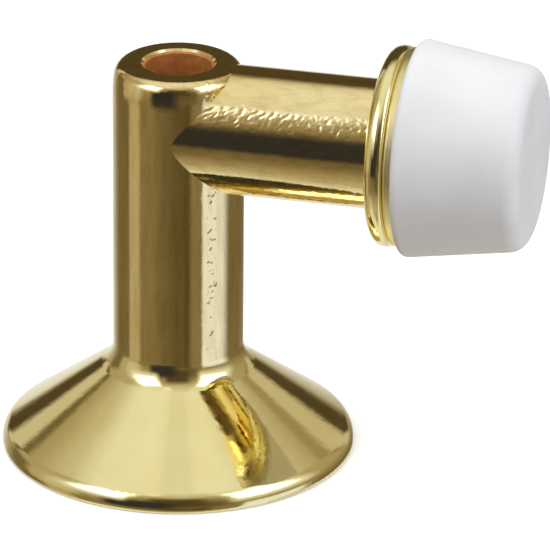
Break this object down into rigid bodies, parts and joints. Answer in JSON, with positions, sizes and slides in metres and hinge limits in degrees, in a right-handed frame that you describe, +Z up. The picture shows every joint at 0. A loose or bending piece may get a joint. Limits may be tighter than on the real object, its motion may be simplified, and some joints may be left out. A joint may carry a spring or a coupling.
{
  "type": "floor door stop",
  "caption": "Floor-mounted door stop: a conical foot, a drilled post, a round side arm with a bead collar, and a tapered rubber bumper.",
  "frame": {"origin": "on the floor, where the axis of the post meets the underside of the foot", "axes": "+Z up along the post, +X out along the arm to the bumper and the door, +Y across the arm"},
  "size_m": [0.0672, 0.0444, 0.0566],
  "materials": {
    "turned_brass": "turned and mirror polished",
    "buffed_brass": "polished over a faintly rippled surface",
    "white_rubber": "satin moulded rubber",
    "zinc_plated_steel": "bright zinc plate",
    "brass_plated_steel": "brass plate"
  },
  "bodies": {
    "stand": {"foot": "turned_brass", "post": "buffed_brass", "arm": "buffed_brass"},
    "loose_collar": {"collar": "turned_brass"},
    "bumper_unit": {"backing_plate": "turned_brass", "bumper_stud": "zinc_plated_steel", "bumper": "white_rubber"},
    "floor_screw": {"mounting_screw": "brass_plated_steel"}
  },
  "joints": [
    {"name": "collar_travel", "type": "slide", "parent": "stand", "child": "loose_collar", "axis": [1, 0, 0], "range_m": [0, 0.00794]},
    {"name": "bumper_turn", "type": "hinge", "parent": "loose_collar", "child": "bumper_unit", "pos_m": [0.0287, 0, 0.0431], "axis": [1, 0, 0], "range_deg": [0, 3600]},
    {"name": "screw_travel", "type": "slide", "parent": "stand", "child": "floor_screw", "axis": [0, 0, -1], "range_m": [0, 0.0306]}
  ],
  "couplings": [
    {"joint": "collar_travel", "follows": "bumper_turn", "m_per_rad": 0.00012633}
  ]
}
